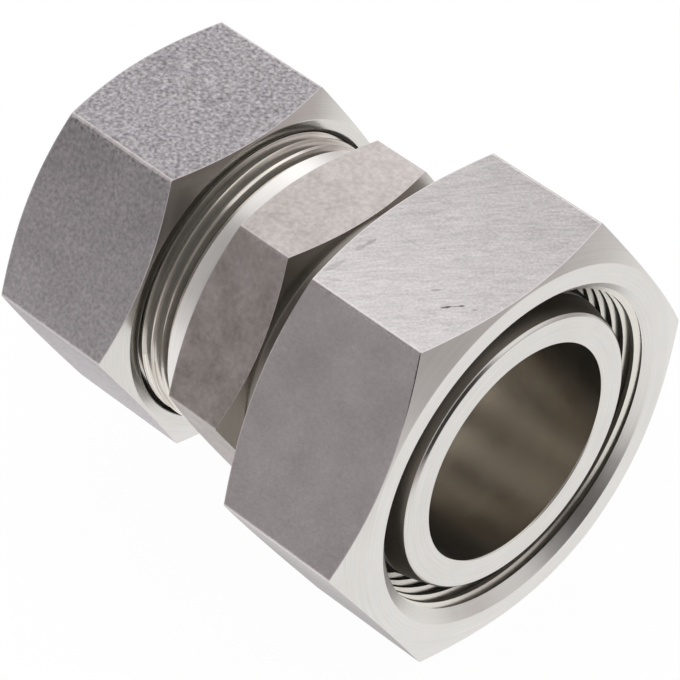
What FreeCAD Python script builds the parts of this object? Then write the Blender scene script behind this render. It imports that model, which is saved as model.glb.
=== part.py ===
"""Straight reducing compression fitting, 35 mm tube to a 42 mm swivel cone end, in millimetres.

X runs along the fitting's axis, towards the swivel nut. The origin is on the axis, at the stop
that the tube's end meets inside the body. Flats of the swivel nut face up and down.
"""

import FreeCAD
import Part
import Sketcher
import os

doc = FreeCAD.newDocument("compression_fitting")
sheet = doc.addObject("Spreadsheet::Sheet", "Dims")

DIMENSIONS = [
    ("cone_half_angle", 12.0, "half of the 24 degree sealing cone"),
    ("edge_radius", 0.4, "rounding along the long edges of the hexagons"),
    ("chamfer_angle", 25.0, "slope of the corner chamfers, from the end face"),
    ("chamfer_inset", 0.3, "how far inside the flats the chamfer starts"),
    ("edge_break", 0.4, "small chamfer on turned edges"),
    ("thread_gap", 0.1, "radial play between male and female thread"),
    ("seat_gap", 0.15, "gap between the cutting ring and its two cones"),
    ("nut_play", 0.25, "radial play of the swivel nut on the shank"),
    ("wire_play", 0.1, "play between the retaining wire and its groove"),
    ("hole_play", 0.1, "how much wider the tube nut's hole is than the socket"),
    ("tube_bore_dia", 35.3, "socket that takes the tube"),
    ("socket_depth", 10.4, "tube stop to the mouth of the socket"),
    ("socket_cone_rise", 1.35, "how far the cone widens the socket, in radius"),
    ("male_wall", 3.5, "mouth of the socket to the outside of the thread"),
    ("thread_end_chamfer", 1.2, "chamfer at the start of that thread"),
    ("thread_end_x", 2.6, "where that thread stops"),
    ("undercut_depth", 1.2, "groove behind that thread"),
    ("undercut_width", 1.2, "length of the groove with its sloping side"),
    ("collar_rise", 0.1, "how far the collar stands above the thread"),
    ("collar_length", 2.6, "groove to the hexagon"),
    ("hex_rise", 0.4, "collar to the flats of the body hexagon"),
    ("hex_length", 12.8, "body hexagon along the axis"),
    ("hex_clock", -3.1, "turn of the body hexagon in degrees"),
    ("stop_ledge", 1.65, "width of the ledge that stops the tube"),
    ("nose_bore_dia", 34.1, "bore of the nose"),
    ("bore_step_x", 14.0, "where the nose's bore ends"),
    ("bore_step_length", 1.8, "length of the taper between the bores"),
    ("shank_step", 0.1, "collar to the outside of the shank, in radius"),
    ("nose_recess", 0.8, "swivel nut's front face to the face of the nose"),
    ("nose_cone_length", 3.6, "length of the visible sealing cone"),
    ("nose_rim_width", 0.9, "land between the cone and the seal groove"),
    ("seal_dia", 2.5, "section of the seal ring"),
    ("seal_side_play", 0.2, "seal ring to each side of its groove"),
    ("seal_floor_play", 0.02, "seal ring to the floor of its groove"),
    ("seal_stand", 0.5, "how far the seal ring stands out of its groove"),
    ("ring_entry", 3.5, "how far the cutting ring reaches into the socket"),
    ("ring_collar_gap", 1.2, "body's end to the collar of the cutting ring"),
    ("ring_collar_room", 1.8, "collar of the cutting ring to the nut's thread"),
    ("ring_collar_length", 3.4, "length of that collar"),
    ("ring_tail_wall", 0.95, "wall at the end of the ring's rear cone"),
    ("ring_relief_depth", 0.45, "relief between the ring's two cutting edges"),
    ("ring_relief_length", 3.0, "length of that relief"),
    ("ring_relief_start", 2.6, "nose of the ring to the relief"),
    ("tube_nut_wall", 2.4, "tube nut's thread to its flats"),
    ("tube_nut_length", 24.0, "tube nut along the axis"),
    ("tube_nut_clock", -1.9, "turn of the tube nut in degrees"),
    ("tube_nut_back_wall", 7.3, "length of the tube nut's plain hole"),
    ("tube_mouth_chamfer", 0.9, "chamfer at the tube nut's mouth"),
    ("swivel_nut_gap", 5.9, "body hexagon to the swivel nut"),
    ("swivel_nut_length", 24.5, "swivel nut along the axis"),
    ("swivel_back_length", 9.3, "length of the plain bore at the swivel nut's back"),
    ("swivel_thread_room", 2.42, "shank to the crests of the swivel nut's thread"),
    ("swivel_nut_wall", 5.08, "crests of that thread to the flats"),
    ("swivel_mouth_chamfer", 1.83, "chamfer at the swivel nut's mouth"),
    ("wire_dia", 2.4, "retaining wire"),
    ("wire_inset", 3.9, "swivel nut's back face to the wire"),
    ("wire_hole_dia", 3.0, "hole that the wire is fed through"),
    ("wire_hole_angle", 330.0, "where that hole is, from Y towards Z"),
    ("wire_gap_angle", 20.0, "degrees of the circle that the wire leaves open"),
]

for row, (alias, number, meaning) in enumerate(DIMENSIONS, start=1):
    sheet.set(f"A{row}", alias)
    sheet.set(f"B{row}", str(number))
    sheet.setAlias(f"B{row}", alias)
    sheet.set(f"C{row}", meaning)
doc.recompute()

# Radii that more than one piece uses, each an expression on the sheet.
CONE_SLOPE = "tan(Dims.cone_half_angle * 1 deg)"
TUBE_RADIUS = "(Dims.tube_bore_dia / 2)"
SOCKET_MOUTH_RADIUS = f"({TUBE_RADIUS} + Dims.socket_cone_rise)"
MALE_RADIUS = f"({SOCKET_MOUTH_RADIUS} + Dims.male_wall)"
FEMALE_RADIUS = f"({MALE_RADIUS} + Dims.thread_gap)"
COLLAR_RADIUS = f"({MALE_RADIUS} + Dims.collar_rise)"
NOSE_BORE_RADIUS = "(Dims.nose_bore_dia / 2)"
SHANK_RADIUS = f"({COLLAR_RADIUS} - Dims.shank_step)"
NUT_BORE_RADIUS = f"({SHANK_RADIUS} + Dims.nut_play)"
SWIVEL_THREAD_RADIUS = f"({SHANK_RADIUS} + Dims.swivel_thread_room)"
WIRE_RADIUS = f"({SHANK_RADIUS} + Dims.nut_play / 2)"
WIRE_SEAT_RADIUS = "(Dims.wire_dia / 2 + Dims.wire_play)"
SEAL_RADIUS = f"({SHANK_RADIUS} + Dims.seal_stand - Dims.seal_dia / 2)"
RING_COLLAR_RADIUS = f"({FEMALE_RADIUS} - Dims.ring_collar_room)"
RING_TAIL_RADIUS = f"({TUBE_RADIUS} + Dims.ring_tail_wall)"
TUBE_HOLE_RADIUS = f"({TUBE_RADIUS} + Dims.hole_play)"

# Hexagons, centre to flat.
HEX_FLAT = f"({COLLAR_RADIUS} + Dims.hex_rise)"
TUBE_NUT_FLAT = f"({FEMALE_RADIUS} + Dims.tube_nut_wall)"
SWIVEL_NUT_FLAT = f"({SWIVEL_THREAD_RADIUS} + Dims.swivel_nut_wall)"

# Stations along the axis.
BODY_END = "-Dims.socket_depth"
COLLAR_BACK = "(Dims.thread_end_x + Dims.undercut_width)"
HEX_BACK = f"({COLLAR_BACK} + Dims.collar_length)"
HEX_FRONT = f"({HEX_BACK} + Dims.hex_length)"
SWIVEL_BACK = f"({HEX_FRONT} + Dims.swivel_nut_gap)"
SWIVEL_FRONT = f"({SWIVEL_BACK} + Dims.swivel_nut_length)"
WIRE_X = f"({SWIVEL_BACK} + Dims.wire_inset)"
NOSE_FACE = f"({SWIVEL_FRONT} - Dims.nose_recess)"
NOSE_RIM = f"({NOSE_FACE} - Dims.edge_break - Dims.nose_cone_length)"
SEAL_FRONT = f"({NOSE_RIM} - Dims.nose_rim_width)"
SEAL_X = f"({SEAL_FRONT} - Dims.seal_side_play - Dims.seal_dia / 2)"
SEAL_BACK = f"({SEAL_X} - Dims.seal_side_play - Dims.seal_dia / 2)"
RING_NOSE = f"({BODY_END} + Dims.ring_entry)"
RING_COLLAR_FRONT = f"({BODY_END} - Dims.ring_collar_gap)"
RING_COLLAR_BACK = f"({RING_COLLAR_FRONT} - Dims.ring_collar_length)"
RING_TAIL = f"({RING_COLLAR_BACK} - {RING_COLLAR_RADIUS} + {RING_TAIL_RADIUS})"
# The nut's 45 degree cone lies parallel to the ring's rear cone.
NUT_CONE_MID = f"({RING_COLLAR_BACK} - Dims.seat_gap / cos(45 deg))"
NUT_CONE_BACK = f"({NUT_CONE_MID} - {RING_COLLAR_RADIUS} + {TUBE_HOLE_RADIUS})"
TUBE_NUT_BACK = f"({NUT_CONE_BACK} - Dims.tube_nut_back_wall)"
TUBE_NUT_FRONT = f"({TUBE_NUT_BACK} + Dims.tube_nut_length)"

# The cutting profile of the corner chamfers reaches this far past the corners.
CHAMFER_REACH = 1.25


def number_of(expression):
    """Gives the number that an expression on the sheet has now."""
    result = sheet.evalExpression(expression)
    return float(getattr(result, "Value", result))


def body_plane(body, role):
    """Finds one of a body's own origin planes."""
    for feature in body.Origin.OriginFeatures:
        if feature.Role == role:
            return feature
    raise ValueError(f"{body.Label} has no {role}")


def new_sketch(body, name, role):
    """Starts a sketch on one of the body's origin planes."""
    sketch = body.newObject("Sketcher::SketchObject", name)
    sketch.AttachmentSupport = [(body_plane(body, role), "")]
    sketch.MapMode = "FlatFace"
    return sketch


def bind(sketch, constraint, expression):
    """Adds a driving constraint to a sketch and ties it to the sheet."""
    index = sketch.addConstraint(constraint)
    sketch.setExpression(f"Constraints[{index}]", expression)


def draw_polygon(sketch, points):
    """Draws a closed polygon whose corners are pairs of expressions."""
    places = [FreeCAD.Vector(number_of(x), number_of(y), 0) for x, y in points]
    count = len(points)
    first = sketch.GeometryCount
    for i in range(count):
        sketch.addGeometry(Part.LineSegment(places[i], places[(i + 1) % count]), False)
    for i in range(count):
        line = first + i
        following = first + (i + 1) % count
        sketch.addConstraint(Sketcher.Constraint("Coincident", line, 2, following, 1))
    for i, (x, y) in enumerate(points):
        line = first + i
        if places[i].x == 0 and x == "0":
            sketch.addConstraint(Sketcher.Constraint("PointOnObject", line, 1, -2))
        else:
            bind(sketch, Sketcher.Constraint("DistanceX", -1, 1, line, 1, places[i].x), x)
        if places[i].y == 0 and y == "0":
            sketch.addConstraint(Sketcher.Constraint("PointOnObject", line, 1, -1))
        else:
            bind(sketch, Sketcher.Constraint("DistanceY", -1, 1, line, 1, places[i].y), y)


def draw_circle(sketch, x, y, radius):
    """Draws a circle whose centre and radius are expressions."""
    centre = FreeCAD.Vector(number_of(x), number_of(y), 0)
    size = number_of(radius)
    circle = sketch.addGeometry(Part.Circle(centre, FreeCAD.Vector(0, 0, 1), size), False)
    bind(sketch, Sketcher.Constraint("DistanceX", -1, 1, circle, 3, centre.x), x)
    if y == "0":
        sketch.addConstraint(Sketcher.Constraint("PointOnObject", circle, 3, -1))
    else:
        bind(sketch, Sketcher.Constraint("DistanceY", -1, 1, circle, 3, centre.y), y)
    bind(sketch, Sketcher.Constraint("Radius", circle, size), radius)


def turned(body, kind, name, sketch):
    """Revolves a sketch about the fitting's axis, to add or to cut."""
    before = body.Shape.Volume if body.Tip else 0.0
    feature = body.newObject(kind, name)
    feature.Profile = sketch
    feature.ReferenceAxis = (sketch, ["H_Axis"])
    feature.Angle = 360
    doc.recompute()
    if kind == "PartDesign::Groove" and feature.Shape.Volume >= before:
        raise ValueError(f"{name} cut nothing from {body.Label}")
    return feature


def add_hexagon(body, name, flat, clock, back, length):
    """Pads a hexagon with rounded long edges along the axis; flat is centre to flat."""
    sketch = new_sketch(body, f"{name}_outline", "YZ_Plane")
    radius = f"({flat} / cos(30 deg))"
    corners = []
    for turn in range(0, 360, 60):
        angle = f"(({turn} + {clock}) * 1 deg)"
        corners.append((f"{radius} * cos({angle})", f"{radius} * sin({angle})"))
    draw_polygon(sketch, corners)
    sketch.setExpression("AttachmentOffset.Base.z", back)
    pad = body.newObject("PartDesign::Pad", f"{name}_pad")
    pad.Profile = sketch
    pad.setExpression("Length", length)
    doc.recompute()
    along = [
        f"Edge{number}"
        for number, edge in enumerate(pad.Shape.Edges, start=1)
        if abs(edge.tangentAt(edge.FirstParameter).x) > 0.99
    ]
    rounding = body.newObject("PartDesign::Fillet", f"{name}_edges")
    rounding.Base = (pad, along)
    rounding.setExpression("Radius", "Dims.edge_radius")
    doc.recompute()


def chamfer_corners(body, name, flat, back, front):
    """Turns the corner chamfers on both end faces of a hexagon."""
    sketch = new_sketch(body, f"{name}_chamfer_profile", "XZ_Plane")
    inner = f"({flat} - Dims.chamfer_inset)"
    outer = f"({flat} * {CHAMFER_REACH})"
    depth = f"(({outer} - {inner}) * tan(Dims.chamfer_angle * 1 deg))"
    draw_polygon(sketch, [(front, inner), (front, outer), (f"{front} - {depth}", outer)])
    draw_polygon(sketch, [(back, inner), (f"{back} + {depth}", outer), (back, outer)])
    turned(body, "PartDesign::Groove", f"{name}_chamfers", sketch)


def make_body():
    """Body: male end with cone socket, hexagon, shank and sealing nose in one piece."""
    body = doc.addObject("PartDesign::Body", "Body")
    body.Label = "body"
    add_hexagon(body, "hex", HEX_FLAT, "Dims.hex_clock", HEX_BACK, "Dims.hex_length")
    chamfer_corners(body, "hex", HEX_FLAT, HEX_BACK, HEX_FRONT)

    undercut = f"({MALE_RADIUS} - Dims.undercut_depth)"
    hex_middle = f"({HEX_BACK} + Dims.hex_length / 2)"
    groove_floor = f"({SEAL_RADIUS} - Dims.seal_dia / 2 - Dims.seal_floor_play)"
    nose_tip = f"({SHANK_RADIUS} - Dims.nose_cone_length * {CONE_SLOPE})"
    profile = new_sketch(body, "outer_profile", "XZ_Plane")
    draw_polygon(profile, [
        (BODY_END, "0"),
        (BODY_END, f"{MALE_RADIUS} - Dims.thread_end_chamfer"),
        (f"{BODY_END} + Dims.thread_end_chamfer", MALE_RADIUS),
        ("Dims.thread_end_x", MALE_RADIUS),
        ("Dims.thread_end_x + Dims.undercut_width / 2", undercut),
        (COLLAR_BACK, undercut),
        (COLLAR_BACK, COLLAR_RADIUS),
        (hex_middle, COLLAR_RADIUS),
        (hex_middle, SHANK_RADIUS),
        (SEAL_BACK, SHANK_RADIUS),
        (SEAL_BACK, groove_floor),
        (SEAL_FRONT, groove_floor),
        (SEAL_FRONT, SHANK_RADIUS),
        (NOSE_RIM, SHANK_RADIUS),
        (f"{NOSE_FACE} - Dims.edge_break", nose_tip),
        (NOSE_FACE, f"{nose_tip} - Dims.edge_break"),
        (NOSE_FACE, "0"),
    ])
    turned(body, "PartDesign::Revolution", "turned_form", profile)

    seat = new_sketch(body, "wire_seat_profile", "XZ_Plane")
    draw_circle(seat, WIRE_X, WIRE_RADIUS, WIRE_SEAT_RADIUS)
    turned(body, "PartDesign::Groove", "wire_seat", seat)

    small = f"({TUBE_RADIUS} - Dims.stop_ledge)"
    cone_start = f"({BODY_END} + Dims.socket_cone_rise / {CONE_SLOPE})"
    bore = new_sketch(body, "bore_profile", "XZ_Plane")
    draw_polygon(bore, [
        (NOSE_FACE, "0"),
        (NOSE_FACE, f"{NOSE_BORE_RADIUS} + Dims.edge_break"),
        (f"{NOSE_FACE} - Dims.edge_break", NOSE_BORE_RADIUS),
        ("Dims.bore_step_x", NOSE_BORE_RADIUS),
        ("Dims.bore_step_x - Dims.bore_step_length", small),
        ("0", small),
        ("0", TUBE_RADIUS),
        (cone_start, TUBE_RADIUS),
        (BODY_END, SOCKET_MOUTH_RADIUS),
        (BODY_END, "0"),
    ])
    turned(body, "PartDesign::Groove", "through_bore", bore)
    return body


def make_tube_nut():
    """Tube nut: hexagon nut whose 45 degree cone presses on the cutting ring."""
    body = doc.addObject("PartDesign::Body", "TubeNut")
    body.Label = "tube_nut"
    length = "Dims.tube_nut_length"
    add_hexagon(body, "tube_nut", TUBE_NUT_FLAT, "Dims.tube_nut_clock", TUBE_NUT_BACK, length)
    chamfer_corners(body, "tube_nut", TUBE_NUT_FLAT, TUBE_NUT_BACK, TUBE_NUT_FRONT)

    cone_front = f"({NUT_CONE_MID} + Dims.ring_collar_room)"
    bore = new_sketch(body, "tube_nut_bore_profile", "XZ_Plane")
    draw_polygon(bore, [
        (TUBE_NUT_FRONT, "0"),
        (TUBE_NUT_FRONT, f"{FEMALE_RADIUS} + Dims.tube_mouth_chamfer"),
        (f"{TUBE_NUT_FRONT} - Dims.tube_mouth_chamfer", FEMALE_RADIUS),
        (cone_front, FEMALE_RADIUS),
        (NUT_CONE_BACK, TUBE_HOLE_RADIUS),
        (f"{TUBE_NUT_BACK} + Dims.edge_break", TUBE_HOLE_RADIUS),
        (TUBE_NUT_BACK, f"{TUBE_HOLE_RADIUS} + Dims.edge_break"),
        (TUBE_NUT_BACK, "0"),
    ])
    turned(body, "PartDesign::Groove", "tube_nut_bore", bore)
    return body


def make_swivel_nut():
    """Swivel nut: turns on the body's shank, held along the axis by the retaining wire."""
    body = doc.addObject("PartDesign::Body", "SwivelNut")
    body.Label = "swivel_nut"
    add_hexagon(body, "swivel_nut", SWIVEL_NUT_FLAT, "0", SWIVEL_BACK, "Dims.swivel_nut_length")
    chamfer_corners(body, "swivel_nut", SWIVEL_NUT_FLAT, SWIVEL_BACK, SWIVEL_FRONT)

    plain_end = f"({SWIVEL_BACK} + Dims.swivel_back_length)"
    thread_end = f"({plain_end} + {SWIVEL_THREAD_RADIUS} - {NUT_BORE_RADIUS})"
    bore = new_sketch(body, "swivel_nut_bore_profile", "XZ_Plane")
    draw_polygon(bore, [
        (SWIVEL_FRONT, "0"),
        (SWIVEL_FRONT, f"{SWIVEL_THREAD_RADIUS} + Dims.swivel_mouth_chamfer"),
        (f"{SWIVEL_FRONT} - Dims.swivel_mouth_chamfer", SWIVEL_THREAD_RADIUS),
        (thread_end, SWIVEL_THREAD_RADIUS),
        (plain_end, NUT_BORE_RADIUS),
        (f"{SWIVEL_BACK} + Dims.edge_break", NUT_BORE_RADIUS),
        (SWIVEL_BACK, f"{NUT_BORE_RADIUS} + Dims.edge_break"),
        (SWIVEL_BACK, "0"),
    ])
    turned(body, "PartDesign::Groove", "swivel_nut_bore", bore)

    seat = new_sketch(body, "swivel_wire_seat_profile", "XZ_Plane")
    draw_circle(seat, WIRE_X, WIRE_RADIUS, WIRE_SEAT_RADIUS)
    turned(body, "PartDesign::Groove", "swivel_wire_seat", seat)

    entry = new_sketch(body, "wire_hole_outline", "XZ_Plane")
    draw_circle(entry, WIRE_X, "0", "Dims.wire_hole_dia / 2")
    # The plane turns about the axis, so the hole goes out through a flat.
    entry.AttachmentOffset = FreeCAD.Placement(
        FreeCAD.Vector(0, 0, 0),
        FreeCAD.Rotation(FreeCAD.Vector(1, 0, 0), number_of("Dims.wire_hole_angle")),
    )
    entry.setExpression("AttachmentOffset.Rotation.Angle", "Dims.wire_hole_angle")
    before = body.Shape.Volume
    hole = body.newObject("PartDesign::Pocket", "wire_hole")
    hole.Profile = entry
    hole.setExpression("Length", f"{SWIVEL_NUT_FLAT} / cos(30 deg)")
    doc.recompute()
    if hole.Shape.Volume >= before:
        raise ValueError("the wire hole cut nothing")
    return body


def make_cutting_ring():
    """Cutting ring: its nose enters the cone socket and its rear cone meets the nut."""
    body = doc.addObject("PartDesign::Body", "CuttingRing")
    body.Label = "cutting_ring"
    socket_at_nose = f"({SOCKET_MOUTH_RADIUS} - Dims.ring_entry * {CONE_SLOPE})"
    nose = f"({socket_at_nose} - Dims.seat_gap / cos(Dims.cone_half_angle * 1 deg))"
    cone_length = f"({RING_NOSE} - {RING_COLLAR_FRONT})"
    relief = f"({TUBE_RADIUS} + Dims.ring_relief_depth)"
    relief_front = f"({RING_NOSE} - Dims.ring_relief_start)"
    profile = new_sketch(body, "ring_profile", "XZ_Plane")
    draw_polygon(profile, [
        (RING_NOSE, TUBE_RADIUS),
        (RING_NOSE, nose),
        (RING_COLLAR_FRONT, f"{nose} + {cone_length} * {CONE_SLOPE}"),
        (RING_COLLAR_FRONT, RING_COLLAR_RADIUS),
        (RING_COLLAR_BACK, RING_COLLAR_RADIUS),
        (RING_TAIL, RING_TAIL_RADIUS),
        (RING_TAIL, TUBE_RADIUS),
        (f"{relief_front} - Dims.ring_relief_length", TUBE_RADIUS),
        (f"{relief_front} - Dims.ring_relief_length + Dims.ring_relief_depth", relief),
        (relief_front, relief),
        (relief_front, TUBE_RADIUS),
    ])
    turned(body, "PartDesign::Revolution", "ring_form", profile)
    return body


def make_ring_of_wire(name, label, x, ring_radius, section_radius, span):
    """Makes a round ring about the fitting's axis."""
    ring = doc.addObject("Part::Torus", name)
    ring.Label = label
    ring.setExpression("Radius1", ring_radius)
    ring.setExpression("Radius2", section_radius)
    ring.setExpression("Angle3", span)
    ring.Placement = FreeCAD.Placement(
        FreeCAD.Vector(number_of(x), 0, 0),
        FreeCAD.Rotation(FreeCAD.Vector(0, 1, 0), 90),
    )
    ring.setExpression("Placement.Base.x", x)
    return ring


def make_o_ring():
    """Seal ring in the groove of the nose, just clear of the groove's floor."""
    return make_ring_of_wire("SealRing", "o_ring", SEAL_X, SEAL_RADIUS, "Dims.seal_dia / 2", "360")


def make_retaining_wire():
    """Retaining wire, half in the shank and half in the swivel nut."""
    section = "Dims.wire_dia / 2"
    span = "360 - Dims.wire_gap_angle"
    return make_ring_of_wire("RetainingWire", "retaining_wire", WIRE_X, WIRE_RADIUS, section, span)


pieces = [
    make_body(),
    make_tube_nut(),
    make_cutting_ring(),
    make_swivel_nut(),
    make_o_ring(),
    make_retaining_wire(),
]
doc.recompute()

for item in doc.Objects:
    if "Invalid" in item.State or "Error" in item.State:
        raise ValueError(f"{item.Label} failed: {item.State}")
for piece in pieces:
    if piece.Shape.isNull() or not piece.Shape.isValid():
        raise ValueError(f"{piece.Label} has no valid shape")
    if len(piece.Shape.Solids) != 1:
        raise ValueError(f"{piece.Label} isn't one solid")

os.makedirs("parts", exist_ok=True)
for piece in pieces:
    piece.Shape.exportStep(f"parts/{piece.Label}.step")
    box = piece.Shape.BoundBox
    print(f"{piece.Label}: x {box.XMin:.2f} to {box.XMax:.2f}, volume {piece.Shape.Volume:.0f} mm3")
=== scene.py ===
"""Dresses a steel compression fitting: its turned and hexagonal pieces, threads, finishes and light.

Sizes are in millimetres and angles in degrees, as on a workshop drawing. X is the fitting's axis.
"""
import logging
import math
from dataclasses import dataclass
from enum import Enum
from typing import Any

import bpy
from mathutils import Matrix, Vector


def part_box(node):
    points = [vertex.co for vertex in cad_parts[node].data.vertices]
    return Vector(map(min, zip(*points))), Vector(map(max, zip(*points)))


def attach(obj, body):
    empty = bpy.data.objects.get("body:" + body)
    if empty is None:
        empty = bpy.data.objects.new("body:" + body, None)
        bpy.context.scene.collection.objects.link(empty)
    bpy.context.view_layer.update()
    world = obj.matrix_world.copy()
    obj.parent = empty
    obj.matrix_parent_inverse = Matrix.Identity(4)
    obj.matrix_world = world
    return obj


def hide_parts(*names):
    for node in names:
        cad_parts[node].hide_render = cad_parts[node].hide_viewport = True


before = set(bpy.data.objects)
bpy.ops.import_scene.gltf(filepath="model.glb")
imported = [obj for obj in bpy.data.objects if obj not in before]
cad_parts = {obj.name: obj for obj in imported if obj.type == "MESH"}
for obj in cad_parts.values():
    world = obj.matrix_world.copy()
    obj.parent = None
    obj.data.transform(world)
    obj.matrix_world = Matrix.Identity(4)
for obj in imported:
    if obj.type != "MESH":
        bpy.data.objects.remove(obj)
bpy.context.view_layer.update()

LOG = logging.getLogger("fitting")
MM = 0.001
IMAGE_PIXELS = 680
SENSOR_WIDTH = 36.0
AROUND = 192
SHARP_ANGLE = 40.0
BAR_SIDES = 6
CORNER_SHARE = math.cos(math.radians(30.0))

Point = tuple[float, float]
Span = tuple[float, float]
Colour = tuple[float, float, float]
WHITE: Colour = (1.0, 1.0, 1.0)


class Side(Enum):
    """Which side of the metal a thread is cut from."""

    OUTSIDE = 1
    INSIDE = -1


class Surface(Enum):
    """A kind of surface on a machined piece."""

    FLATS = "Flats"
    FACED = "Faced"
    # Painted shade: faces that look back along the axis, the turned faces hidden in the swivel nut,
    # and that nut's thread roots and back flanks are painted dark for the shade they lie in.
    PARTED = "Parted"
    ROUND = "Round"
    BORED = "Bored"
    GROOVES = "Grooves"
    # Oily steel, painted near black as painted shade: the body thread's back flanks and the tube
    # nut's inside.
    OILED = "Oiled"


Dress = dict[Surface, bpy.types.Material]


class Signal:
    """A node's output, with arithmetic that adds Math nodes to its tree."""

    def __init__(self, graph: "Graph", socket: bpy.types.NodeSocket) -> None:
        """Wraps one socket of a graph."""
        self.graph = graph
        self.socket = socket

    def also(self, name: str) -> "Signal":
        """Returns another output of the same node, by its name."""
        return Signal(self.graph, self.socket.node.outputs[name])

    def __add__(self, other: "Value") -> "Signal":
        """Adds."""
        return self.graph.math("ADD", self, other)

    def __sub__(self, other: "Value") -> "Signal":
        """Subtracts."""
        return self.graph.math("SUBTRACT", self, other)

    def __rsub__(self, other: "Value") -> "Signal":
        """Subtracts from a value."""
        return self.graph.math("SUBTRACT", other, self)

    def __mul__(self, other: "Value") -> "Signal":
        """Multiplies."""
        return self.graph.math("MULTIPLY", self, other)

    def __truediv__(self, other: "Value") -> "Signal":
        """Divides."""
        return self.graph.math("DIVIDE", self, other)

    __radd__ = __add__
    __rmul__ = __mul__


Value = Signal | float | int | bool | str | tuple | Vector | bpy.types.ID


class Graph:
    """A node tree while it is written."""

    def __init__(self, tree: bpy.types.NodeTree) -> None:
        """Starts on an empty tree.

        Args:
            tree: The tree, whose nodes are cleared.
        """
        self.tree = tree
        tree.nodes.clear()

    def node(
        self,
        kind: str,
        sockets: dict[str | int, Value] | None = None,
        settings: dict[str, Any] | None = None,
        out: str | int = 0,
    ) -> Signal:
        """Adds a node.

        Args:
            kind: The node's type.
            sockets: Values or links of its inputs, by name or place.
            settings: Its own settings, set before its inputs.
            out: Which output to return, by name or place.

        Returns:
            The chosen output, or the first input of a node that has no output.
        """
        made = self.tree.nodes.new(kind)
        for name, value in (settings or {}).items():
            setattr(made, name, value)
        for name, value in (sockets or {}).items():
            if isinstance(value, Signal):
                self.tree.links.new(value.socket, made.inputs[name])
            else:
                made.inputs[name].default_value = value
        return Signal(self, made.outputs[out] if made.outputs else made.inputs[0])

    def math(self, operation: str, *values: Value) -> Signal:
        """Adds a Math node on up to three values."""
        return self.node("ShaderNodeMath", dict(enumerate(values)), {"operation": operation})

    def clamp(self, value: Signal) -> Signal:
        """Keeps a value between 0 and 1."""
        return self.node("ShaderNodeClamp", {"Value": value})

    def combine(self, x: Value, y: Value, z: Value) -> Signal:
        """Makes a vector of three numbers."""
        return self.node("ShaderNodeCombineXYZ", {0: x, 1: y, 2: z})

    def parts(self, vector: Signal) -> tuple[Signal, Signal, Signal]:
        """Splits a vector into three numbers."""
        x = self.node("ShaderNodeSeparateXYZ", {0: vector}, out="X")
        return x, x.also("Y"), x.also("Z")

    def blend(self, factor: Value, low: Value, high: Value) -> Signal:
        """Mixes two colours."""
        return self.node(
            "ShaderNodeMix", {0: factor, 6: low, 7: high}, {"data_type": "RGBA"}, out=2
        )

    def length(self, first: Signal, second: Signal) -> Signal:
        """Gives the length of a vector that has two parts."""
        return self.math("SQRT", first * first + second * second)

    def eased(self, value: Signal, ends: Span) -> Signal:
        """Eases a value from 0 to 1 between two ends."""
        share = self.clamp((value - ends[0]) / (ends[1] - ends[0]))
        return share * share * (3.0 - share * 2.0)

    def noise(self, place: Signal, size: float, detail: float, roughness: float = 0.5) -> Signal:
        """Adds noise whose largest specks have one size."""
        return self.node(
            "ShaderNodeTexNoise",
            {"Vector": place, "Scale": 1 / (size * MM), "Detail": detail, "Roughness": roughness},
        )

    def bump(self, depth: float, height: Value) -> Signal:
        """Turns a height from 0 to 1 into a tilted normal."""
        return self.node(
            "ShaderNodeBump", {"Strength": 1.0, "Distance": depth * MM, "Height": height}
        )

    def principled(self, sockets: dict[str | int, Value]) -> None:
        """Ends a material with the Principled shader."""
        shader = self.node("ShaderNodeBsdfPrincipled", sockets)
        self.node("ShaderNodeOutputMaterial", {"Surface": shader})

    def moved(
        self, geometry: Signal, by: Value = (0.0, 0.0, 0.0), turn: Value = (0.0, 0.0, 0.0)
    ) -> Signal:
        """Turns geometry about the origin and then shifts it."""
        sockets = {"Geometry": geometry, "Translation": by, "Rotation": turn}
        return self.node("GeometryNodeTransform", sockets)

    def swept(self, path: Signal, profile: Signal, capped: bool = False) -> Signal:
        """Sweeps a profile along a path."""
        return self.node(
            "GeometryNodeCurveToMesh",
            {"Curve": path, "Profile Curve": profile, "Fill Caps": capped},
        )


def rgba(colour: Colour) -> tuple[float, float, float, float]:
    """Adds full opacity to a colour."""
    return (*colour, 1.0)


def placed(name: str, data: bpy.types.ID) -> bpy.types.Object:
    """Puts a new object in the scene.

    Args:
        name: The object's name.
        data: Its mesh, lamp or camera.

    Returns:
        The object, at the origin.
    """
    made = bpy.data.objects.new(name, data)
    bpy.context.scene.collection.objects.link(made)
    return made


def new_material(name: str) -> tuple[bpy.types.Material, Graph]:
    """Makes a material and starts its graph.

    Args:
        name: The material's name.

    Returns:
        The material and its empty graph.
    """
    material = bpy.data.materials.new(name)
    material.use_nodes = True
    return material, Graph(material.node_tree)


@dataclass(frozen=True)
class Hexagon:
    """The hexagon bar that a piece is cut from, with the chamfers of its corners."""

    flat: float
    back: float
    front: float
    clock: float = 0.0
    edge_radius: float = 0.4
    edge_steps: int = 6
    spare: float = 1.0
    chamfer_inset: float = 0.3
    chamfer_slope: float = 25.0
    envelope: float = 1.2

    def corner_radius(self) -> float:
        """Gives the reach of the rounded corners from the axis."""
        return (self.flat - self.edge_radius) / CORNER_SHARE + self.edge_radius

    def chamfer_start(self) -> float:
        """Gives the radius at which the chamfers start on the end faces."""
        return self.flat - self.chamfer_inset

    def rise(self) -> float:
        """Gives how far along the axis a chamfer goes for each unit of radius."""
        return math.tan(math.radians(self.chamfer_slope))

    def turned_corners(self) -> list[Point]:
        """Draws the outside that the bar is turned to.

        Returns:
            The corners from the back face to the front, as stations and radii.
        """
        start = self.chamfer_start()
        reach = self.flat * self.envelope
        depth = (reach - start) * self.rise()
        return [
            (self.back, start),
            (self.back + depth, reach),
            (self.front - depth, reach),
            (self.front, start),
        ]


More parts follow.
